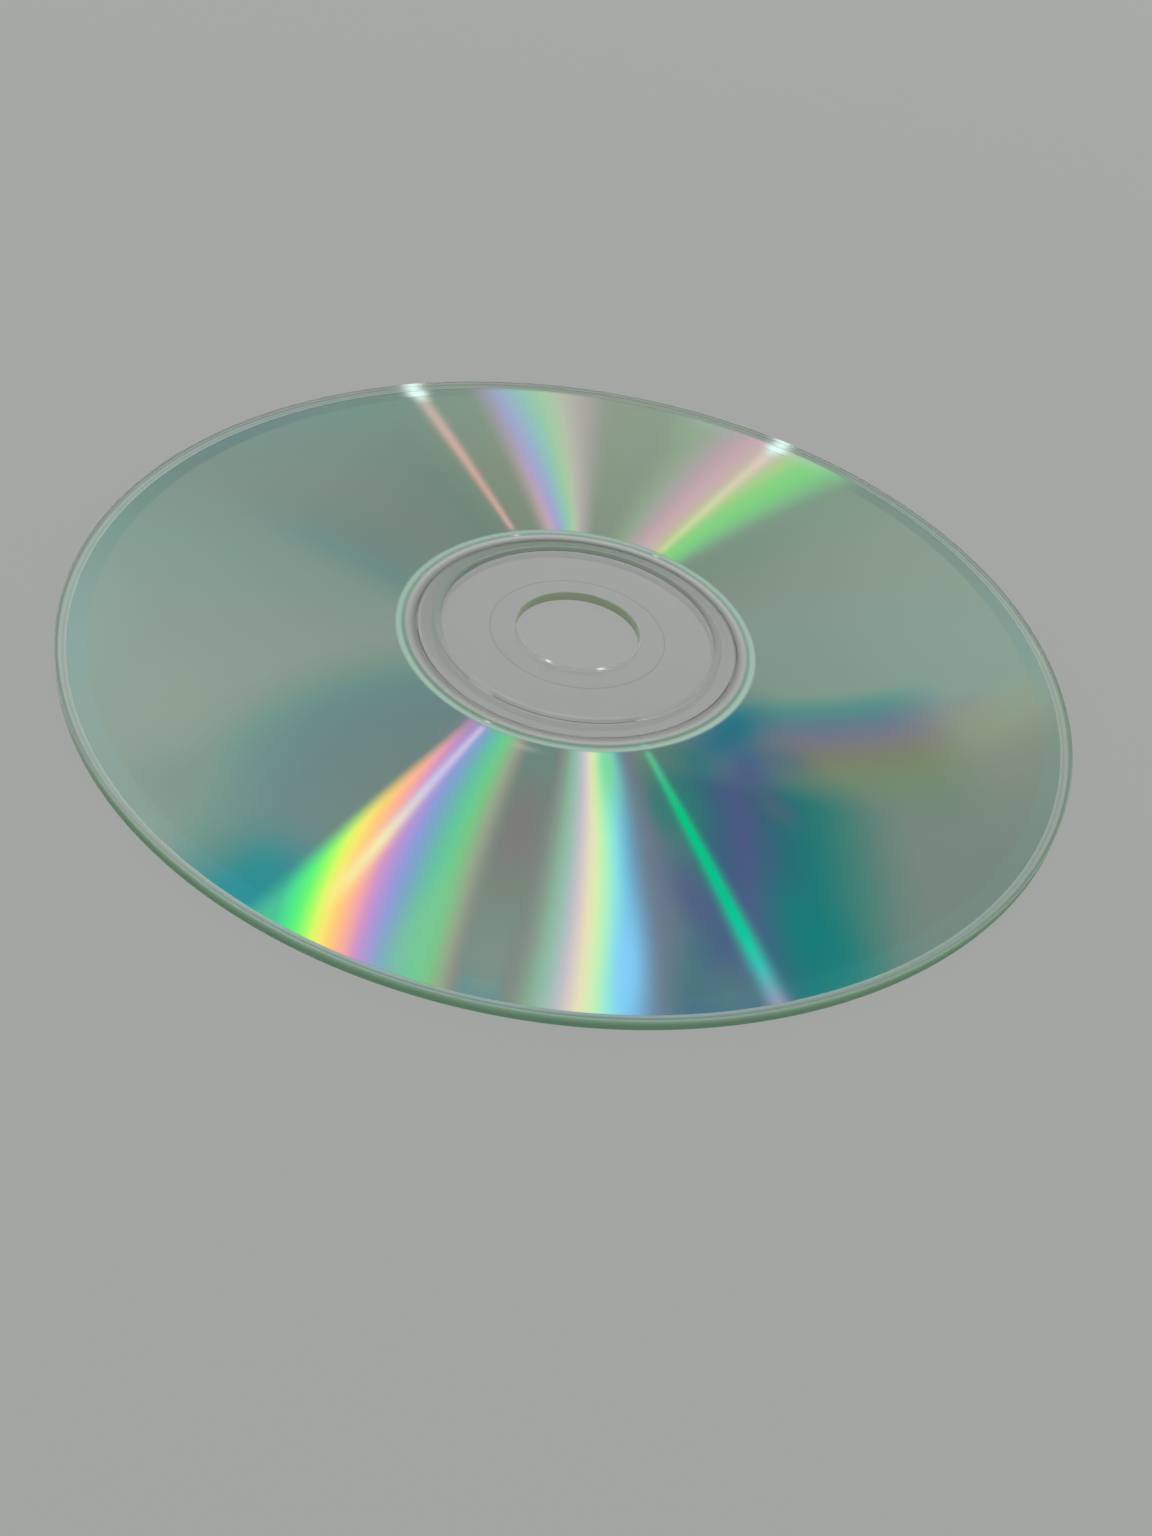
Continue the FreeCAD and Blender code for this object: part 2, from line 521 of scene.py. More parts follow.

# Drifts of painted diffracted light and shade, each over those before it
FILM_SWEEPS: tuple[Sweep, ...] = (
    Sweep(
        origin=(-20.6, -12.4),
        heading=210.6,
        bend=-29.5,
        stops=(
            (-22.0, (118, 136, 120), 1.0),
            (-15.0, (110, 135, 130), 1.0),
            (-10.0, (108, 136, 134), 1.0),
            (-7.0, (108, 139, 137), 1.0),
            (-4.5, (108, 143, 139), 1.0),
            (-2.2, (112, 149, 140), 1.0),
            (0.0, (122, 152, 140), 0.9),
            (2.5, (132, 153, 142), 0.6),
            (6.0, (140, 157, 145), 0.0),
        ),
        reach=(-30.0, 60.0),
    ),
    Sweep(
        origin=(-26.0, -46.0),
        heading=240.0,
        stops=(
            (-4.0, (46, 138, 142), 1.0),
            (-1.4, (46, 138, 142), 1.0),
            (0.5, (57, 139, 139), 1.0),
            (2.4, (83, 139, 135), 1.0),
            (4.3, (97, 141, 133), 0.9),
            (6.2, (106, 144, 134), 0.6),
            (8.5, (112, 144, 133), 0.2),
            (11.0, (118, 145, 132), 0.0),
        ),
        reach=(-3.0, 30.0),
        softness=4.5,
    ),
    Sweep(
        origin=(-23.6, 4.2),
        heading=155.7,
        stops=(
            (-5.0, (130, 152, 142), 0.0),
            (-2.0, (118, 149, 140), 0.8),
            (0.0, (113, 145, 139), 1.0),
            (4.0, (116, 140, 132), 0.9),
            (10.0, (118, 138, 128), 0.5),
            (20.0, (118, 138, 128), 0.0),
        ),
        reach=(-9.0, 18.0),
        softness=8.0,
    ),
    RIGHT_BRANCH,
    replace(
        RIGHT_BRANCH,
        stops=(
            (-8.0, (131, 156, 143), 0.0),
            (-5.5, (122, 152, 145), 0.9),
            (-3.0, (126, 143, 144), 1.0),
            (-1.5, (129, 140, 141), 0.6),
            (0.5, (131, 138, 136), 0.0),
        ),
        reach=(-35.0, 12.0),
    ),
    replace(
        RIGHT_BRANCH,
        stops=(
            (-3.5, (128, 142, 143), 0.0),
            (-1.5, (131, 139, 139), 0.8),
            (0.5, (132, 138, 133), 1.0),
            (2.5, (133, 141, 127), 1.0),
            (5.0, (131, 142, 124), 0.7),
            (9.0, (127, 139, 126), 0.0),
        ),
        reach=(-35.0, 18.5),
    ),
    replace(
        RIGHT_BRANCH,
        stops=(
            (-8.0, (120, 155, 142), 0.0),
            (-5.8, (97, 150, 138), 0.9),
            (-4.2, (88, 141, 138), 1.0),
            (-2.2, (98, 128, 140), 1.0),
            (-0.2, (115, 121, 137), 1.0),
            (2.2, (124, 124, 121), 1.0),
            (4.0, (122, 129, 108), 1.0),
            (6.0, (119, 135, 106), 1.0),
            (9.0, (115, 137, 112), 1.0),
            (13.0, (112, 134, 120), 0.8),
            (20.0, (112, 131, 121), 0.0),
        ),
        reach=(-15.0, 9.0),
        softness=6.0,
    ),
    Sweep(
        origin=(44.0, -9.0),
        heading=45.0,
        stops=(
            (-6.0, (140, 158, 138), 0.0),
            (-2.5, (141, 155, 132), 0.6),
            (1.0, (142, 152, 128), 0.6),
            (5.0, (132, 142, 122), 0.3),
            (9.0, (126, 138, 124), 0.0),
        ),
        reach=(4.0, 24.0),
    ),
    Sweep(
        origin=(36.0, -43.0),
        heading=-90.0,
        bend=90.0,
        stops=(
            (-6.0, (100, 130, 121), 0.0),
            (-3.0, (94, 129, 120), 0.5),
            (-0.5, (82, 127, 117), 0.9),
            (1.5, (68, 126, 117), 1.0),
            (4.0, (48, 122, 114), 1.0),
            (6.5, (33, 117, 116), 1.0),
            (9.0, (42, 107, 116), 1.0),
            (11.0, (60, 96, 123), 1.0),
            (13.2, (76, 88, 131), 1.0),
            (15.5, (66, 92, 128), 1.0),
            (17.0, (56, 102, 124), 1.0),
            (18.5, (46, 114, 118), 0.95),
            (21.0, (62, 126, 117), 0.7),
            (25.0, (84, 129, 119), 0.0),
        ),
        reach=(-23.0, 30.0),
    ),
)

# Soft fields of painted diffracted light and shade over the drifts: colour, cover, azimuth, width,
# radius, length and lean
FILM_STREAKS: tuple[Streak, ...] = (
    Streak((34, 125, 138), 0.95, 328.0, 11.0, 23.0, 3.0),
    Streak((58, 116, 134), 0.8, 316.0, 10.0, 24.0, 4.0),
    Streak((66, 101, 138), 0.8, 321.0, 7.0, 28.0, 3.5),
    Streak((82, 128, 116), 0.8, 304.0, 7.0, 23.0, 3.0),
    Streak((50, 122, 116), 0.85, 298.0, 6.0, 30.0, 5.0),
    Streak((108, 142, 130), 0.8, 267.0, 8.0, 24.5, 3.5),
    Streak((126, 122, 124), 0.9, 267.0, 4.0, 36.0, 8.0),
    Streak((126, 141, 128), 0.8, 268.0, 5.0, 54.0, 7.0),
    Streak((108, 120, 140), 0.9, 288.5, 3.0, 42.0, 10.0, -0.05),
    Streak((82, 94, 131), 0.9, 292.5, 3.2, 44.0, 7.0),
    Streak((80, 118, 122), 0.9, 292.0, 5.0, 57.0, 4.5),
    Streak((22, 121, 118), 0.9, 304.5, 4.5, 52.0, 7.0),
    Streak((112, 147, 138), 0.6, 136.0, 22.0, 57.0, 10.0),
    Streak((124, 148, 136), 0.8, 226.0, 6.0, 53.0, 6.0),
    Streak((140, 163, 157), 0.6, 197.0, 14.0, 58.0, 5.0),
    Streak((38, 114, 134), 0.72, 323.0, 12.0, 24.2, 2.6),
    Streak((46, 120, 120), 0.7, 309.0, 4.0, 25.5, 3.0),
    Streak((79, 90, 140), 0.6, 317.0, 4.5, 29.8, 2.6),
    Streak((70, 108, 130), 0.55, 327.0, 5.0, 31.0, 3.0),
    Streak((82, 100, 118), 0.6, 315.0, 3.0, 35.0, 3.2),
    Streak((48, 124, 120), 0.7, 293.0, 3.0, 31.5, 5.0),
)

# The rainbow fans of painted diffracted light: two on the far side and two on the near side
FILM_FANS: tuple[Fan, ...] = (
    Fan(
        stops=(
            (54.0, (126, 149, 133), 0.0),
            (56.5, (125, 156, 132), 0.9),
            (58.0, (127, 171, 136), 1.0),
            (60.0, (125, 196, 133), 1.0),
            (62.0, (127, 208, 128), 1.0),
            (64.0, (138, 210, 131), 1.0),
            (66.0, (166, 207, 140), 1.0),
            (68.0, (190, 192, 156), 1.0),
            (70.0, (197, 178, 169), 1.0),
            (72.0, (197, 170, 175), 1.0),
            (74.0, (186, 164, 168), 1.0),
            (76.0, (170, 165, 161), 1.0),
            (78.0, (155, 166, 152), 1.0),
            (80.0, (143, 165, 141), 1.0),
            (82.5, (140, 158, 136), 0.7),
            (86.0, (134, 152, 132), 0.0),
        ),
        leans=(-0.13, -0.09),
    ),
    Fan(
        stops=(
            (90.0, (137, 154, 136), 0.0),
            (93.5, (150, 158, 146), 1.0),
            (95.5, (168, 167, 160), 1.0),
            (97.0, (179, 178, 168), 1.0),
            (98.5, (180, 192, 169), 1.0),
            (99.7, (168, 200, 163), 1.0),
            (101.0, (154, 202, 165), 1.0),
            (102.5, (146, 196, 180), 1.0),
            (104.0, (148, 184, 196), 1.0),
            (105.5, (156, 172, 204), 1.0),
            (107.0, (170, 164, 202), 1.0),
            (108.5, (184, 164, 192), 1.0),
            (110.0, (192, 166, 178), 1.0),
            (112.0, (192, 166, 168), 1.0),
            (115.0, (180, 162, 158), 1.0),
        ),
        leans=(-0.06, 0.32),
        window=(91.0, 109.6),
        window_lean=0.05,
        softness=3.2,
    ),
    Fan(
        stops=(
            (237.0, (76, 196, 150), 1.0),
            (238.4, (78, 222, 144), 1.0),
            (239.4, (84, 236, 132), 1.0),
            (240.6, (105, 247, 120), 1.0),
            (241.9, (160, 254, 104), 1.0),
            (243.1, (219, 250, 106), 1.0),
            (244.3, (250, 234, 113), 1.0),
            (245.6, (255, 208, 122), 1.0),
            (247.0, (254, 183, 146), 1.0),
            (248.1, (242, 168, 170), 1.0),
            (249.3, (214, 151, 196), 1.0),
            (250.5, (184, 148, 213), 1.0),
            (251.9, (156, 152, 217), 1.0),
            (253.0, (134, 160, 210), 1.0),
            (254.3, (120, 170, 194), 1.0),
            (255.6, (108, 184, 174), 1.0),
            (256.8, (101, 195, 158), 1.0),
            (258.1, (105, 202, 147), 1.0),
            (259.1, (114, 201, 138), 1.0),
            (260.2, (127, 192, 134), 1.0),
            (261.2, (143, 177, 137), 1.0),
            (262.1, (148, 161, 137), 1.0),
            (263.1, (138, 146, 132), 1.0),
            (265.0, (124, 134, 128), 0.0),
        ),
        leans=(0.495, 0.07),
        window=(244.5, 290.0),
        window_lean=0.03,
    ),
    Fan(
        stops=(
            (270.0, (124, 130, 126), 0.0),
            (272.0, (129, 142, 133), 1.0),
            (273.0, (133, 156, 140), 1.0),
            (274.0, (136, 176, 151), 1.0),
            (275.0, (144, 187, 166), 1.0),
            (276.0, (163, 190, 184), 1.0),
            (277.0, (190, 192, 197), 1.0),
            (278.0, (217, 204, 198), 1.0),
            (279.0, (229, 225, 184), 1.0),
            (280.0, (216, 237, 178), 1.0),
            (281.0, (186, 244, 184), 1.0),
            (282.0, (157, 240, 206), 1.0),
            (283.0, (135, 226, 225), 1.0),
            (284.0, (120, 199, 224), 1.0),
            (285.0, (111, 174, 203), 1.0),
            (286.0, (109, 151, 177), 1.0),
            (287.0, (107, 137, 156), 1.0),
            (288.0, (108, 126, 145), 0.9),
            (290.0, (104, 116, 134), 0.4),
            (292.0, (90, 112, 130), 0.0),
        ),
        leans=(-0.05, -0.18),
    ),
)

# Soft fields of painted diffracted light over the fans
FILM_TINTS: tuple[Streak, ...] = (
    Streak((124, 216, 148), 0.85, 284.8, 2.8, 24.0, 7.0, -0.17),
    Streak((133, 206, 254), 0.8, 282.2, 1.9, 53.0, 8.0, -0.15),
    Streak((150, 136, 160), 0.6, 245.0, 3.0, 21.5, 5.0),
    Streak((128, 198, 154), 0.65, 260.0, 2.6, 54.0, 9.0),
    Streak((176, 200, 184), 0.5, 62.5, 4.0, 58.2, 1.7),
    Streak((158, 182, 164), 0.6, 77.5, 4.5, 58.2, 2.0),
    Streak((190, 196, 190), 0.3, 262.0, 4.0, 22.9, 0.5),
    Streak((152, 178, 150), 0.3, 80.0, 3.0, 54.0, 4.0),
)

# Painted thin lines of light in the fans or beside them, each with a painted glint at the dye's
# edge
FILM_RAYS: tuple[Ray, ...] = (
    Ray(
        azimuth=67.4, lean=-0.03, width=1.1, painted_glint=(222, 228, 214),
        stops=(
            (21.5, (190, 212, 153), 0.0),
            (23.0, (192, 215, 153), 0.9),
            (32.0, (198, 218, 157), 1.0),
            (46.0, (213, 205, 177), 1.0),
            (55.0, (218, 200, 193), 1.0),
            (56.5, (208, 234, 230), 1.0),
            (58.6, (228, 250, 246), 1.0),
        ),
    ),
    Ray(
        azimuth=119.9, lean=0.035, width=1.15, painted_glint=(226, 214, 206),
        stops=(
            (21.5, (190, 166, 152), 0.0),
            (23.0, (196, 169, 154), 1.0),
            (32.0, (199, 165, 150), 1.0),
            (46.0, (202, 173, 162), 1.0),
            (55.0, (190, 178, 168), 1.0),
            (56.5, (200, 230, 214), 1.0),
            (58.6, (228, 250, 246), 1.0),
        ),
    ),
    Ray(
        azimuth=249.3, lean=0.055, width=1.05, painted_glint=(228, 216, 226),
        stops=(
            (21.5, (190, 186, 206), 0.0),
            (22.5, (195, 190, 214), 1.0),
            (32.0, (200, 197, 230), 1.0),
            (38.0, (220, 214, 208), 1.0),
            (44.0, (246, 240, 180), 0.9),
            (50.0, (246, 246, 168), 0.6),
            (55.0, (250, 247, 150), 0.0),
        ),
    ),
    Ray(
        azimuth=297.0, lean=-0.04, width=1.15, painted_glint=(120, 225, 180),
        stops=(
            (21.5, (100, 186, 150), 0.0),
            (22.5, (94, 186, 146), 1.0),
            (28.0, (46, 190, 131), 1.0),
            (32.0, (0, 200, 128), 1.0),
            (44.0, (0, 197, 140), 1.0),
            (50.0, (8, 202, 158), 1.0),
            (54.0, (56, 192, 180), 1.0),
            (56.5, (104, 170, 180), 1.0),
            (58.6, (150, 150, 186), 1.0),
        ),
    ),
)

# The bare silver inner edge and the first rings of the dye, by radius, with painted shade that
# darkens the silver towards its inner edge
DYE_EDGE: tuple[Stop, ...] = (
    (19.6, (130, 136, 128), 1.0),
    (19.9, (160, 165, 157), 1.0),
    (20.2, (182, 186, 178), 1.0),
    (20.45, (186, 191, 183), 1.0),
    (20.6, (170, 182, 172), 1.0),
    (20.75, (136, 162, 148), 1.0),
    (20.95, (126, 163, 146), 1.0),
    (21.1, (144, 174, 158), 1.0),
    (21.2, (159, 188, 172), 1.0),
    (21.45, (163, 191, 175), 1.0),
    (21.65, (162, 188, 173), 1.0),
    (21.8, (148, 174, 160), 0.7),
    (22.0, (130, 156, 143), 0.0),
)

# The unrecorded outer ring multiplies the film's colour by these, by azimuth: its own change of
# tint, with painted reflection that varies round the disc
BLANK_TINTS: tuple[Stop, ...] = (
    (0.0, (249, 259, 265), 1.0),
    (30.0, (233, 241, 245), 1.0),
    (60.0, (236, 241, 245), 1.0),
    (90.0, (252, 254, 255), 1.0),
    (135.0, (246, 241, 246), 1.0),
    (150.0, (223, 238, 245), 1.0),
    (165.0, (229, 242, 242), 1.0),
    (180.0, (239, 250, 251), 1.0),
    (200.0, (248, 259, 262), 1.0),
    (225.0, (256, 261, 266), 1.0),
    (345.0, (254, 261, 262), 1.0),
    (360.0, (249, 259, 265), 1.0),
)


@dataclass(frozen=True)
class Glint(Layer):
    """A painted highlight: a bright spot where the light shows in the rim or in the bore's edge."""

    azimuth: float
    width: float
    ring: Ring
    share: float
    colour: Colour = (226, 255, 248)
    softness: float = 0.1

    def look(self, board: PolarBoard) -> tuple[tuple, Signal]:
        """Give the spot's colour and how far it covers.

        Args:
            board: The material.

        Returns:
            The colour, and how far it covers.
        """
        across = board.hump(board.past(self.azimuth), self.width)
        outward = board.within(board.radius, *self.ring, self.softness)
        return linear(self.colour), across * outward * self.share


# Painted highlights in the far rim
RIM_GLINTS: tuple[Glint, ...] = (
    Glint(66.6, 1.3, (57.2, 60.3), 1.0),
    Glint(120.8, 1.3, (57.2, 60.3), 1.0),
)

# Painted highlights in the bore's near edge
BORE_GLINTS: tuple[Glint, ...] = (
    Glint(250.0, 3.5, (7.35, 8.0), 0.8, (240, 248, 244)),
    Glint(297.0, 3.5, (7.35, 8.0), 0.8, (240, 248, 244)),
)


@dataclass(frozen=True)
class GlossFinish:
    """The clear moulding's own gloss, which grows at a low angle."""

    index: float = PLASTIC_INDEX
    reach: Pair = (0.07, 1.0)
    roughness: float = 0.0

    def cover(self, board: Board, below: Socket) -> Socket:
        """Lay the gloss over a shader that is seen from inside the moulding.

        Args:
            board: The material.
            below: The shader without the gloss.

        Returns:
            The shader with the gloss.
        """
        reflected = board.node("ShaderNodeFresnel", None, {"IOR": 1.0 / self.index})
        share = board.rise(Signal(board, reflected.outputs[0]), *self.reach)
        gloss = board.node("ShaderNodeBsdfAnisotropic", None, {
            "Color": WHITE,
            "Roughness": self.roughness,
        })
        both = board.node("ShaderNodeMixShader", None, {0: share, 1: below, 2: gloss.outputs[0]})
        return both.outputs[0]


@dataclass(frozen=True)
class RecordingFinish:
    """The dyed mirror that is seen through the moulding, with painted diffracted light, reflection,
    glints and shade in its colours.
    """

    sky: float
    inner_shade: float = 0.93
    outer_shade: float = 1.07
    shade_reach: Pair = (18.0, 58.0)
    burn_end: float = 56.6
    burn_softness: float = 0.25
    dye_middle: Pair = (-0.05, 0.12)
    far_azimuth: float = FAR_AZIMUTH
    far_shade: float = 0.12

    def paint(self, board: PolarBoard) -> Socket:
        """Lay all colours over each other, as they look from above.

        Args:
            board: The film's material.

        Returns:
            The finished colours.
        """
        turned = board.turned()
        colour, _ = board.bands(turned, FILM_GREYS)
        for layer in FILM_SWEEPS + FILM_STREAKS:
            colour = layer.paint(board, colour)
        outward = board.rise(board.radius, *self.shade_reach)
        shade = outward * (self.outer_shade - self.inner_shade) + self.inner_shade
        colour = board.blend("MULTIPLY", colour, shade)
        blank = board.rise(board.radius, self.burn_end - self.burn_softness,
                           self.burn_end + self.burn_softness)
        tint, _ = board.bands(turned, BLANK_TINTS)
        colour = board.mix(colour, board.blend("MULTIPLY", colour, tint), blank)
        for layer in FILM_FANS + FILM_TINTS:
            colour = layer.paint(board, colour)
        across, along = board.across - self.dye_middle[0], board.along - self.dye_middle[1]
        edge, cover = board.bands(board.maths("SQRT", across * across + along * along), DYE_EDGE)
        shade = 1.0 - board.facing(self.far_azimuth) * self.far_shade
        colour = board.mix(colour, board.blend("MULTIPLY", edge, shade), cover)
        for layer in FILM_RAYS + RIM_GLINTS:
            colour = layer.paint(board, colour)
        return colour

    def make(self) -> bpy.types.Material:
        """Build the finish as a mirror that gives back the sky's light.

        Returns:
            The material.
        """
        board = PolarBoard("recording_film")
        light = (self.sky, self.sky, self.sky)
        shader = board.node("ShaderNodeBsdfPrincipled", None, {
            "Base Color": board.blend("DIVIDE", self.paint(board), light),
            "Metallic": 1.0,
            "Roughness": 0.0,
        })
        return board.output(GlossFinish().cover(board, shader.outputs[0]))


@dataclass(frozen=True)
class LacquerFinish:
    """The satin lacquer on the back of the film, a little uneven as it is spun on."""

    colour: Colour = (205, 207, 210)
    deep_colour: Colour = (194, 197, 201)
    roughness: float = 0.28
    unevenness: float = 0.1
    metallic: float = 0.7
    grain: float = 900.0
    grain_detail: float = 3.0

    def make(self) -> bpy.types.Material:
        """Build the finish.

        Returns:
            The material.
        """
        board = PolarBoard("film_lacquer")
        place = board.node("ShaderNodeTexCoord")
        noise = board.node("ShaderNodeTexNoise", None, {
            "Vector": place.outputs["Object"],
            "Scale": self.grain,
            "Detail": self.grain_detail,
        })
        cloud = Signal(board, noise.outputs[0])
        shader = board.node("ShaderNodeBsdfPrincipled", None, {
            "Base Color": board.mix(linear(self.deep_colour), linear(self.colour), cloud),
            "Metallic": self.metallic,
            "Roughness": cloud * self.unevenness + self.roughness,
        })
        return board.output(shader.outputs[0])


# The stacking ring's painted light and shade by azimuth, darker and greener on the far side
RING_PAINTED_LIGHT: tuple[Stop, ...] = (
    (0.0, (140, 149, 142), 1.0),
    (30.0, (125, 136, 128), 1.0),
    (60.0, (124, 136, 124), 1.0),
    (90.0, (118, 135, 120), 1.0),
    (120.0, (118, 134, 119), 1.0),
    (150.0, (106, 124, 115), 1.0),
    (180.0, (128, 142, 134), 1.0),
    (210.0, (146, 155, 148), 1.0),
    (240.0, (157, 163, 156), 1.0),
    (270.0, (166, 168, 163), 1.0),
    (300.0, (157, 159, 154), 1.0),
    (330.0, (150, 153, 148), 1.0),
    (360.0, (140, 149, 142), 1.0),
)

# The clear rim's painted light by azimuth, laid on its underside
RIM_PAINTED_LIGHT: tuple[Stop, ...] = (
    (0.0, (155, 172, 160), 1.0),
    (15.0, (162, 178, 167), 1.0),
    (45.0, (143, 166, 154), 1.0),
    (90.0, (147, 160, 147), 1.0),
    (140.0, (148, 167, 161), 1.0),
    (165.0, (160, 177, 168), 1.0),
    (190.0, (163, 184, 176), 1.0),
    (215.0, (164, 183, 173), 1.0),
    (235.0, (161, 184, 173), 1.0),
    (260.0, (146, 181, 170), 1.0),
    (285.0, (139, 168, 160), 1.0),
    (310.0, (139, 167, 154), 1.0),
    (340.0, (150, 166, 156), 1.0),
    (360.0, (155, 172, 160), 1.0),
)

# Fine rings of painted shade that darken the rim's painted light, by radius
RIM_PAINTED_SHADE_LINES: tuple[Stop, ...] = (
    (58.65, (255, 255, 255), 0.0),
    (58.75, (255, 255, 255), 0.9),
    (58.95, (250, 250, 250), 0.9),
    (59.1, (226, 228, 226), 0.9),
    (59.3, (252, 252, 252), 0.9),
    (59.5, (250, 251, 250), 0.9),
    (59.7, (212, 216, 212), 0.9),
    (60.0, (184, 190, 184), 0.9),
)

# Painted light and shade on the near wall of the rim, by height: green, darker partway down and
# lighter at the top and the foot
WALL_PAINTED_LIGHT: tuple[Stop, ...] = (
    (0.0, (116, 182, 132), 1.0),
    (0.2, (110, 168, 124), 1.0),
    (0.45, (96, 140, 106), 1.0),
    (0.8, (104, 140, 110), 1.0),
    (1.2, (124, 160, 129), 1.0),
)


@dataclass(frozen=True)
class ClearFinish:
    """Clear moulded plastic, with light and shade painted on a matte coat at its walls, stacking
    ring and rim, green at the cut edges.

    Over the film, the upper face only bends the light, and the film shows the gloss itself.
    A pair of numbers tells where a zone fades in or out: heights, radii, or depths from the
    bore's wall or from the rim.
    """

    bore: float
    rim: float
    mould_line: float
    mould_line_width: float = 0.08
    light_tint: Tint = (0.992, 1.0, 0.992)
    # Painted shade: a grey tint much darker than clear plastic darkens what shows through it, as if
    # shaded under the disc
    tint: Tint = (0.705, 0.71, 0.705)
    # Painted shade, green, on the band beside the stacking ring, strongest on the far side
    far_painted_shade: Tint = (0.12, 0.245, 0.113)
    far_painted_shade_ring: Ring = (17.5, 18.9)
    far_painted_shade_softness: float = 0.12
    far_painted_shade_power: float = 1.7
    far_azimuth: float = FAR_AZIMUTH
    far_start: Pair = (0.25, 0.6)
    # Painted shade: dark lines at the mould line underneath and near the rim's upper edge
    painted_line_shade: Tint = (0.315, 0.34, 0.327)
    edge_line: float = 59.7
    edge_line_width: float = 0.14
    groove: float = 19.38
    groove_width: float = 0.2
    # Painted shade in the groove underneath
    groove_painted_shade: Tint = (0.15, 0.17, 0.16)
    low_end: Pair = (0.05, 0.12)
    top_start: Pair = (0.95, 1.15)
    crest_start: Pair = (1.24, 1.29)
    crest_share: float = 0.85
    film_ring: Ring = (20.7, 59.3)
    film_ring_edge: float = 0.4
    index: float = PLASTIC_INDEX
    frost_roughness: float = 0.4
    frost_gloss: float = 0.2
    light: float = 1.12
    bore_wall: Pair = (0.04, 0.16)
    # Painted light on the bore's wall: greener on the far side, lighter on the near side
    far_bore_painted_light: Colour = (152, 169, 138)
    bore_share: float = 0.8
    near_bore_painted_light: Colour = (190, 193, 188)
    near_bore_share: float = 0.55
    rim_wall: Pair = (0.14, 0.04)
    near_wall_share: float = 0.9
    # Painted light on the rim's far wall
    far_wall_painted_light: Colour = (157, 170, 158)
    far_wall_share: float = 0.85
    glint_top: Ring = (59.3, 59.5)

    def make(self) -> bpy.types.Material:
        """Build the finish.

        Returns:
            The material.
        """
        board = PolarBoard("clear_plastic")
        plastic = board.node("ShaderNodeBsdfPrincipled", None, {
            "Base Color": self.paint(board),
            "Roughness": 0.0,
            "IOR": self.index,
            "Transmission Weight": 1.0,
        })
        window = board.node("ShaderNodeBsdfRefraction", None, {
            "Color": WHITE,
            "Roughness": 0.0,
            "IOR": self.index,
        })
        over_film = board.within(board.radius, *self.film_ring, self.film_ring_edge) \
            * board.rise(board.height, *self.top_start)
        clear = board.node("ShaderNodeMixShader", None, {
            0: over_film,
            1: plastic.outputs[0],
            2: window.outputs[0],
        })
        painted_light_colour, painted_light_cover = self.painted_light_coat(board)
        painted_light_coat = board.node("ShaderNodeBsdfPrincipled", None, {
            "Base Color": painted_light_colour,
            "Roughness": self.frost_roughness,
            "Specular IOR Level": self.frost_gloss,
        })
        body = board.node("ShaderNodeMixShader", None, {
            0: painted_light_cover,
            1: clear.outputs[0],
            2: painted_light_coat.outputs[0],
        })
        open_way = board.node("ShaderNodeBsdfTransparent", None, {
            "Color": self.light_tint + (1.0,),
        })
        rays = board.node("ShaderNodeLightPath")
        light_ray = board.maths("MAXIMUM", *(
            Signal(board, rays.outputs[kind]) for kind in ("Is Shadow Ray", "Is Diffuse Ray")))
        both = board.node("ShaderNodeMixShader", None, {
            0: light_ray,
            1: body.outputs[0],
            2: open_way.outputs[0],
        })
        return board.output(both.outputs[0])

    def paint(self, board: PolarBoard) -> Socket:
        """Tint the plastic with painted shade: darker overall, darker and greener beside the
        stacking ring's far side, in fine dark lines and in the groove.

        Args:
            board: The moulding's material.

        Returns:
            The tint of the clear plastic.
        """
        high = board.rise(board.height, *self.top_start)
        low = 1.0 - high
        facing = board.facing(self.far_azimuth)
        hub_ring = board.within(board.radius, *self.far_painted_shade_ring, self.far_painted_shade_softness) * high
        share = hub_ring * facing ** self.far_painted_shade_power
        colour = board.mix(self.tint + (1.0,), self.far_painted_shade + (1.0,), share)
        line = board.hump(board.radius - self.mould_line, self.mould_line_width)
        colour = board.mix(colour, self.painted_line_shade + (1.0,), line * low)
        edge = board.hump(board.radius - self.edge_line, self.edge_line_width) * high
        colour = board.mix(colour, self.painted_line_shade + (1.0,), edge)
        groove = board.hump(board.radius - self.groove, self.groove_width) * low
        return board.mix(colour, self.groove_painted_shade + (1.0,), groove)

    def painted_light_coat(self, board: PolarBoard) -> tuple[Socket, Signal]:
        """Paint light and shade on a matte coat over the walls, the stacking ring and the rim, and
        set painted glints on them.

        Args:
            board: The moulding's material.

        Returns:
            The coat's painted colour, and how far it covers the clear plastic.
        """
        turned = board.turned()
        far = board.rise(board.facing(self.far_azimuth), *self.far_start)
        low = 1.0 - board.rise(board.height, *self.low_end)
        high = board.rise(board.height, *self.top_start)
        at_bore = 1.0 - board.rise(board.radius, *(self.bore + depth for depth in self.bore_wall))
        at_rim = board.rise(board.radius, *(self.rim - depth for depth in self.rim_wall))
        line, line_cover = board.bands(board.radius, RIM_PAINTED_SHADE_LINES)
        rim, _ = board.bands(turned, RIM_PAINTED_LIGHT)
        ring, _ = board.bands(turned, RING_PAINTED_LIGHT)
        wall, _ = board.bands(board.height, WALL_PAINTED_LIGHT)
        zones = [
            (board.blend("MULTIPLY", rim, line), line_cover * low),
            (wall, at_rim * (1.0 - far) * self.near_wall_share),
            (linear(self.far_wall_painted_light), at_rim * far * self.far_wall_share),
            (ring, board.rise(board.height, *self.crest_start) * self.crest_share),
        ]
        in_sight = board.maths("MAXIMUM", low, board.rise(board.radius, *self.glint_top))
        for glints, seen in ((RIM_GLINTS, in_sight), (BORE_GLINTS, high)):
            for bright, share in (glint.look(board) for glint in glints):
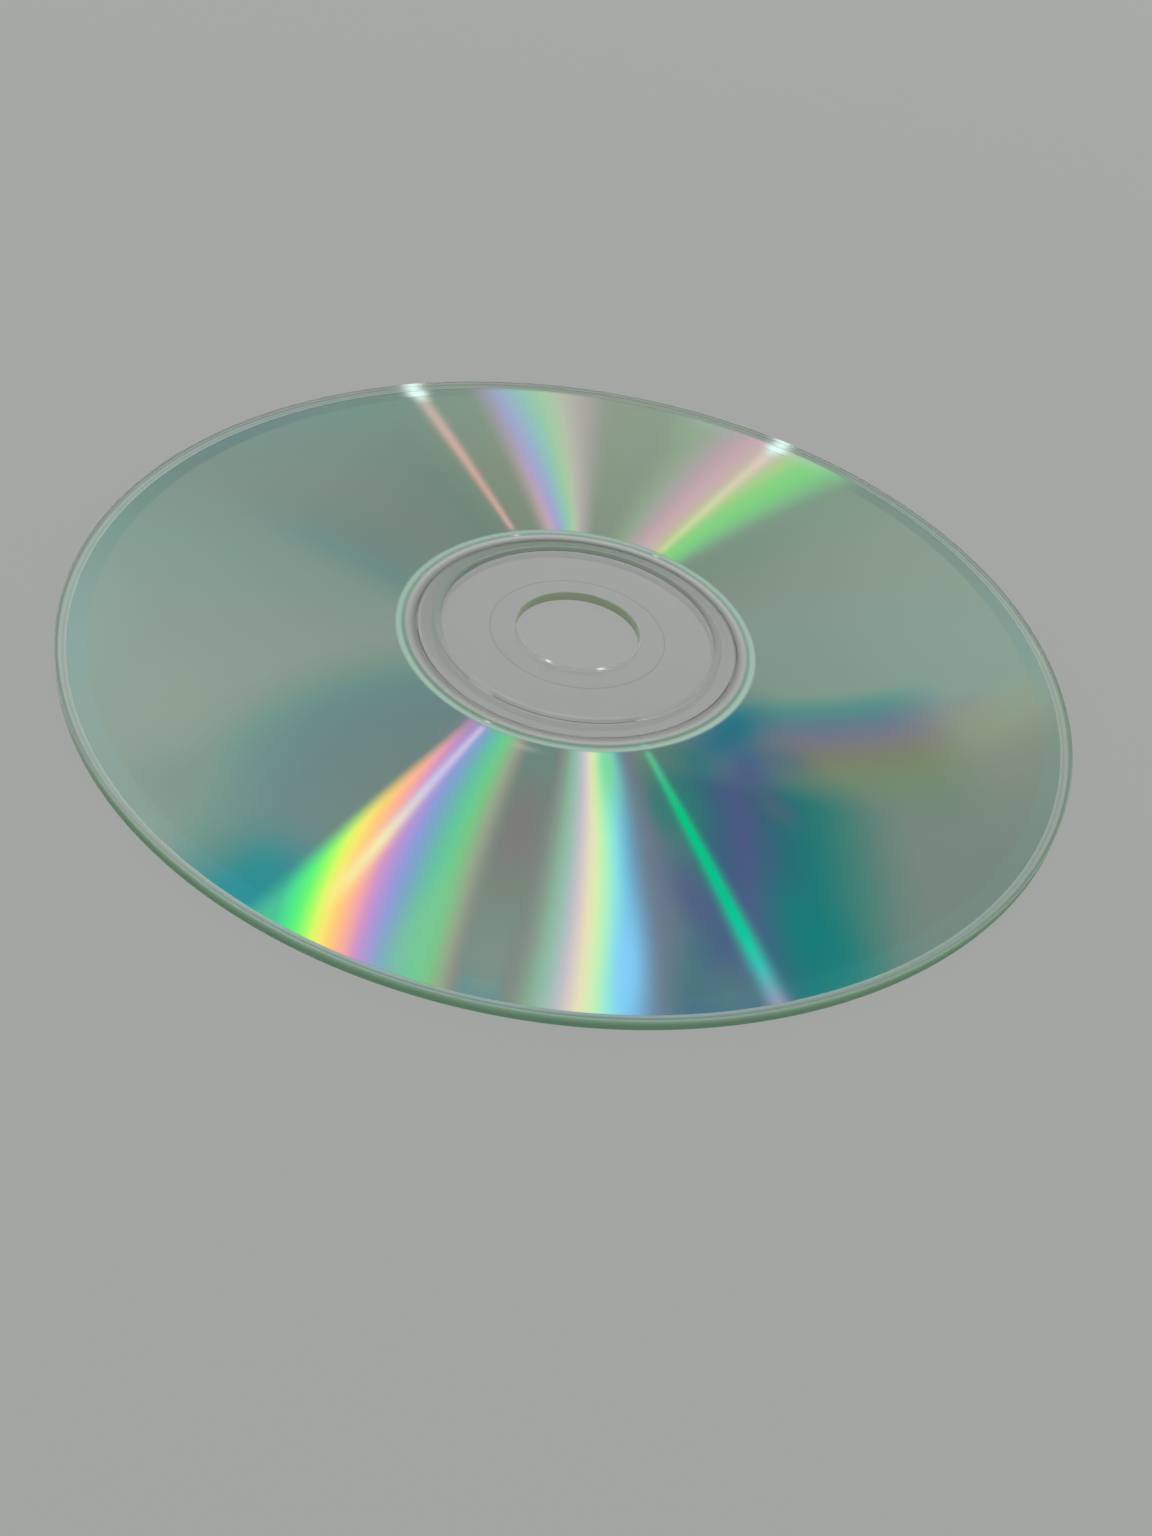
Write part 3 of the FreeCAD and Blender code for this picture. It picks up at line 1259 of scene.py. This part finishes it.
                zones.append((bright, share * seen))
        colour = board.mix(linear(self.near_bore_painted_light), linear(self.far_bore_painted_light), far)
        cover = at_bore * (far * (self.bore_share - self.near_bore_share) + self.near_bore_share)
        for above, share in zones:
            total = board.maths("MAXIMUM", cover, share)
            colour = board.mix(colour, above, share / total)
            cover = total
        return board.blend("DIVIDE", colour, (self.light,) * 3), cover


@dataclass(frozen=True)
class Lathe:
    """Turns closed sections round the Z axis into smooth solids.

    An edge lies on a ring if its ends are as near as same gives, in millimetres, and a face
    is flat if its normal's height is over level.
    """

    steps: int = 512
    same: float = 1e-4
    level: float = 0.9999

    def turn(self, section: Iterable[Ring]) -> bmesh.types.BMesh:
        """Turn a closed section once round the axis.

        Args:
            section: Radius and height of each corner in turn, in millimetres.

        Returns:
            The solid, in metres.
        """
        shape = bmesh.new()
        corners = [shape.verts.new((r * MM, 0.0, z * MM)) for r, z in section]
        sides = [shape.edges.new(ends) for ends in zip(corners, corners[1:] + corners[:1])]
        bmesh.ops.spin(shape, geom=corners + sides, axis=(0, 0, 1), cent=(0, 0, 0),
                       steps=self.steps, angle=math.tau, use_merge=True)
        bmesh.ops.recalc_face_normals(shape, faces=shape.faces[:])
        return shape

    def round_off(self, shape: bmesh.types.BMesh, rings: Iterable[Ring], radius: float,
                  segments: int) -> None:
        """Round the edges of a turned solid that lie on these rings.

        Args:
            shape: The solid.
            rings: Radius and height of each edge, in millimetres.
            radius: The edge's radius, in millimetres.
            segments: How many flats stand for the round.
        """
        edges = [edge for edge in shape.edges
                 if any(self._lies_on(edge, ring) for ring in rings)]
        bmesh.ops.bevel(shape, geom=edges, offset=radius * MM, offset_type="OFFSET",
                        affect="EDGES", segments=segments, profile=0.5, material=-1,
                        clamp_overlap=True)

    def _lies_on(self, edge: bmesh.types.BMEdge, ring: Ring) -> bool:
        """Tell whether both ends of an edge lie on a ring."""
        return all(abs(end.co.xy.length / MM - ring[0]) < self.same
                   and abs(end.co.z / MM - ring[1]) < self.same for end in edge.verts)

    def finish(self, shape: bmesh.types.BMesh, name: str) -> bpy.types.Object:
        """Make an object of a turned solid, smooth where it is round.

        Args:
            shape: The solid, which is used up.
            name: The object's name.

        Returns:
            The object.
        """
        for face in shape.faces:
            face.smooth = abs(face.normal.z) < self.level
        mesh = bpy.data.meshes.new(name)
        shape.to_mesh(mesh)
        shape.free()
        piece = bpy.data.objects.new(name, mesh)
        bpy.context.scene.collection.objects.link(piece)
        return piece


@dataclass(frozen=True)
class Substrate:
    """The clear moulding: disc, bore, stacking ring and the grooves underneath."""

    underside: float
    crest: float
    rim: float
    bore: float = 7.5
    stack_ring_height: float = 0.3
    rim_edge: float = 0.15
    rim_flats: int = 6
    bore_edge: float = 0.1
    bore_flats: int = 4
    mould_line: float = 10.6
    mould_line_half: float = 0.06
    mould_line_depth: float = 0.01
    stack_ring_inner: float = 16.5
    stack_ring_outer: float = 17.5
    stack_ring_slope: float = 0.3
    stack_ring_edge: float = 0.16
    stack_ring_flats: int = 6
    groove_inner: float = 19.2
    groove_outer: float = 19.55
    groove_slope: float = 0.12
    groove_depth: float = 0.1

    @property
    def top(self) -> float:
        """Height of the flat upper face."""
        return self.crest - self.stack_ring_height

    def section(self) -> list[Ring]:
        """List the corners of the section.

        Returns:
            Radius and height of each, outwards underneath and back on top.
        """
        low, top = self.underside, self.top
        line, half = self.mould_line, self.mould_line_half
        slope = self.groove_slope
        floor = low + self.groove_depth
        return [
            (self.bore, low),
            (line - half, low),
            (line, low + self.mould_line_depth),
            (line + half, low),
            (self.groove_inner, low),
            (self.groove_inner + slope, floor),
            (self.groove_outer - slope, floor),
            (self.groove_outer, low),
            (self.rim, low),
            (self.rim, top),
            (self.stack_ring_outer, top),
            (self.stack_ring_outer - self.stack_ring_slope, self.crest),
            (self.stack_ring_inner + self.stack_ring_slope, self.crest),
            (self.stack_ring_inner, top),
            (self.bore, top),
        ]

    def build(self, lathe: Lathe) -> bpy.types.Object:
        """Turn the moulding and round its edges.

        Args:
            lathe: What turns it.

        Returns:
            The finished piece.
        """
        shape = lathe.turn(self.section())
        heights = (self.underside, self.top)
        lathe.round_off(shape, [(self.rim, z) for z in heights], self.rim_edge, self.rim_flats)
        lathe.round_off(shape, [(self.bore, z) for z in heights], self.bore_edge, self.bore_flats)
        crests = [(self.stack_ring_inner + self.stack_ring_slope, self.crest),
                  (self.stack_ring_outer - self.stack_ring_slope, self.crest)]
        lathe.round_off(shape, crests, self.stack_ring_edge, self.stack_ring_flats)
        feet = [(self.stack_ring_inner, self.top), (self.stack_ring_outer, self.top)]
        lathe.round_off(shape, feet, self.stack_ring_edge, self.stack_ring_flats)
        piece = lathe.finish(shape, "clear_substrate_turned")
        piece.data.materials.append(ClearFinish(self.bore, self.rim, self.mould_line).make())
        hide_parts("clear_substrate")
        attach(piece, ROOT)
        return piece


@dataclass(frozen=True)
class Film:
    """The film under the moulding, with the dyed mirror up and the lacquer down."""

    thickness: float
    outer: float
    inner: float = 19.6
    bite: float = 0.003
    facing_up: float = 0.5

    def section(self) -> list[Ring]:
        """List the corners of the section; the film bites a little into the moulding."""
        top = self.thickness + self.bite
        return [(self.inner, 0.0), (self.outer, 0.0), (self.outer, top), (self.inner, top)]

    def build(self, lathe: Lathe) -> bpy.types.Object:
        """Turn the film and dress its two sides.

        Args:
            lathe: What turns it.

        Returns:
            The finished piece.
        """
        shape = lathe.turn(self.section())
        for face in shape.faces:
            face.material_index = 0 if face.normal.z > self.facing_up else 1
        piece = lathe.finish(shape, "recording_film_turned")
        piece.data.materials.append(RecordingFinish(Studio.sky).make())
        piece.data.materials.append(LacquerFinish().make())
        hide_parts("recording_film")
        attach(piece, ROOT)
        return piece


@dataclass(frozen=True)
class Studio:
    """The pale floor, the soft light and the camera of the photograph."""

    eye: tuple[float, float, float] = (2.811, -155.128, 113.974)
    pitch: float = 40.93
    roll: float = 10.60
    lens: float = 37.30
    sensor: float = 36.0
    near_clip: float = 5.0
    floor_size: float = 6000.0
    floor_gap: float = 0.02
    floor_colour: Tint = (0.322, 0.331, 0.322)
    floor_roughness: float = 0.9
    sky: float = 1.1

    def build(self) -> None:
        """Set up everything round the disc."""
        self.make_floor()
        self.make_sky()
        self.make_camera()

    def make_floor(self) -> None:
        """Lay a wide plain floor just under the disc."""
        shape = bmesh.new()
        bmesh.ops.create_grid(shape, x_segments=1, y_segments=1, size=self.floor_size * MM)
        bmesh.ops.translate(shape, verts=shape.verts, vec=(0, 0, -self.floor_gap * MM))
        mesh = bpy.data.meshes.new("floor")
        shape.to_mesh(mesh)
        shape.free()
        floor = bpy.data.objects.new("floor", mesh)
        bpy.context.scene.collection.objects.link(floor)
        board = Board("floor")
        shader = board.node("ShaderNodeBsdfPrincipled", None, {
            "Base Color": self.floor_colour + (1.0,),
            "Roughness": self.floor_roughness,
        })
        mesh.materials.append(board.output(shader.outputs[0]))

    def make_sky(self) -> None:
        """Surround the disc with even white light."""
        world = bpy.data.worlds.new("soft_light")
        world.use_nodes = True
        background = world.node_tree.nodes["Background"]
        background.inputs["Color"].default_value = WHITE
        background.inputs["Strength"].default_value = self.sky
        bpy.context.scene.world = world

    def make_camera(self) -> None:
        """Stand the camera where the photograph was taken from."""
        data = bpy.data.cameras.new("camera")
        data.sensor_width = self.sensor
        data.lens = self.lens
        data.clip_start = self.near_clip * MM
        camera = bpy.data.objects.new("camera", data)
        bpy.context.scene.collection.objects.link(camera)
        camera.matrix_world = (
            Matrix.Translation(Vector(self.eye) * MM)
            @ Matrix.Rotation(math.radians(QUARTER_TURN - self.pitch), 4, "X")
            @ Matrix.Rotation(math.radians(self.roll), 4, "Z")
        )
        bpy.context.scene.camera = camera


def corner(node: str, high: bool) -> Vector:
    """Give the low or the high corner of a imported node's box, in millimetres."""
    return Vector(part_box(node)[1 if high else 0]) / MM


def outer_radius(node: str) -> float:
    """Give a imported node's outer radius, to the tenth of a millimetre that it is made to."""
    return round(corner(node, True).x, 1)


def main() -> None:
    """Build the disc and its studio."""
    logging.basicConfig(level=logging.INFO, format="%(message)s")
    scene = bpy.context.scene
    scene.view_settings.view_transform = "Standard"
    lathe = Lathe()
    base, crest = corner("clear_substrate", False), corner("clear_substrate", True)
    film = corner("recording_film", True)
    pieces = [
        Substrate(
            underside=base.z,
            crest=crest.z,
            rim=outer_radius("clear_substrate"),
        ).build(lathe),
        Film(thickness=film.z, outer=outer_radius("recording_film")).build(lathe),
    ]
    for piece in pieces:
        LOG.info("%s: %d faces", piece.name, len(piece.data.polygons))
    Studio().build()


if __name__ == "__main__":
    main()
